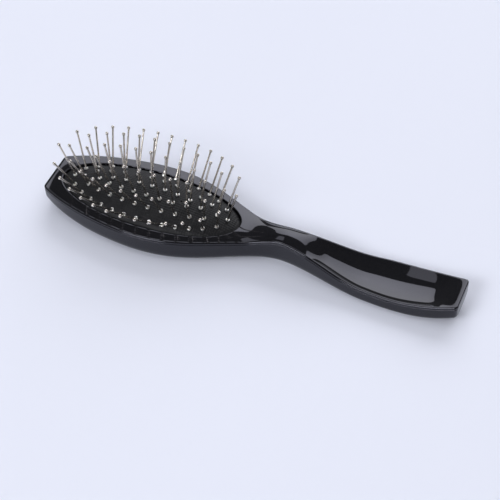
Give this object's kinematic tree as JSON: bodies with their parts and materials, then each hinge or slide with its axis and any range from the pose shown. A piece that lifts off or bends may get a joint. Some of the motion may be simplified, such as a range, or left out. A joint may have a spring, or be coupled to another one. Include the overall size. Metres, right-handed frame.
{
  "type": "cushion pin brush",
  "caption": "Oval hair brush with ball-tipped steel pins on a domed rubber cushion, in a glossy hollow two-part body with a waisted neck and dished handle.",
  "frame": {"origin": "midpoint of the length and width, at the level of the surface that the brush's back rests on", "axes": "+X from the head to the handle's tail, +Z the side that the pins stand on, +Y the brush's left seen from the tail"},
  "size_m": [0.22, 0.0608, 0.0425],
  "materials": {
    "body_plastic": "high gloss injection moulded, black",
    "inner_plastic": "unpolished moulded, black",
    "rubber": "fine woven texture, satin black",
    "steel": "polished drawn wire",
    "collar": "bright plated"
  },
  "bodies": {
    "body": {"back_shell": "body_plastic", "front_frame": "body_plastic", "cushion_retainer": "inner_plastic", "cushion_pad": "rubber"},
    "inner_core": {"inner_core_pins": "steel", "inner_core_collars": "collar"},
    "inner_shoulder": {"inner_shoulder_pins": "steel", "inner_shoulder_collars": "collar"},
    "inner_end": {"inner_end_pins": "steel", "inner_end_collars": "collar"},
    "middle_side": {"middle_side_pins": "steel", "middle_side_collars": "collar"},
    "middle_quarter": {"middle_quarter_pins": "steel", "middle_quarter_collars": "collar"},
    "middle_shoulder": {"middle_shoulder_pins": "steel", "middle_shoulder_collars": "collar"},
    "middle_end": {"middle_end_pins": "steel", "middle_end_collars": "collar"},
    "outer_row": {"outer_left_pins": "steel", "outer_right_pins": "steel", "outer_end_pins": "steel", "outer_left_collars": "collar", "outer_right_collars": "collar", "outer_end_collars": "collar"}
  },
  "joints": [
    {"name": "inner_core_press", "type": "slide", "parent": "body", "child": "inner_core", "axis": [0, 0, -1], "range_m": [0, 0.0036], "stiffness_N_per_m": 1200, "deforming": ["cushion_pad"]},
    {"name": "inner_shoulder_press", "type": "slide", "parent": "body", "child": "inner_shoulder", "axis": [0, 0, -1], "range_m": [0, 0.00326], "stiffness_N_per_m": 480},
    {"name": "inner_end_press", "type": "slide", "parent": "body", "child": "inner_end", "axis": [0, 0, -1], "range_m": [0, 0.00292], "stiffness_N_per_m": 240},
    {"name": "middle_side_press", "type": "slide", "parent": "body", "child": "middle_side", "axis": [0, 0, -1], "range_m": [0, 0.00309], "stiffness_N_per_m": 960},
    {"name": "middle_quarter_press", "type": "slide", "parent": "body", "child": "middle_quarter", "axis": [0, 0, -1], "range_m": [0, 0.00292], "stiffness_N_per_m": 480},
    {"name": "middle_shoulder_press", "type": "slide", "parent": "body", "child": "middle_shoulder", "axis": [0, 0, -1], "range_m": [0, 0.00258], "stiffness_N_per_m": 960},
    {"name": "middle_end_press", "type": "slide", "parent": "body", "child": "middle_end", "axis": [0, 0, -1], "range_m": [0, 0.0022], "stiffness_N_per_m": 240},
    {"name": "outer_row_press", "type": "slide", "parent": "body", "child": "outer_row", "axis": [0, 0, -1], "range_m": [0, 0.00171], "stiffness_N_per_m": 3360}
  ],
  "couplings": [
    {"joint": "inner_shoulder_press", "follows": "inner_core_press", "ratio": 0.901},
    {"joint": "inner_end_press", "follows": "inner_core_press", "ratio": 0.806},
    {"joint": "middle_side_press", "follows": "inner_core_press", "ratio": 0.853},
    {"joint": "middle_quarter_press", "follows": "inner_core_press", "ratio": 0.806},
    {"joint": "middle_shoulder_press", "follows": "inner_core_press", "ratio": 0.711},
    {"joint": "middle_end_press", "follows": "inner_core_press", "ratio": 0.605},
    {"joint": "outer_row_press", "follows": "inner_core_press", "ratio": 0.469}
  ]
}
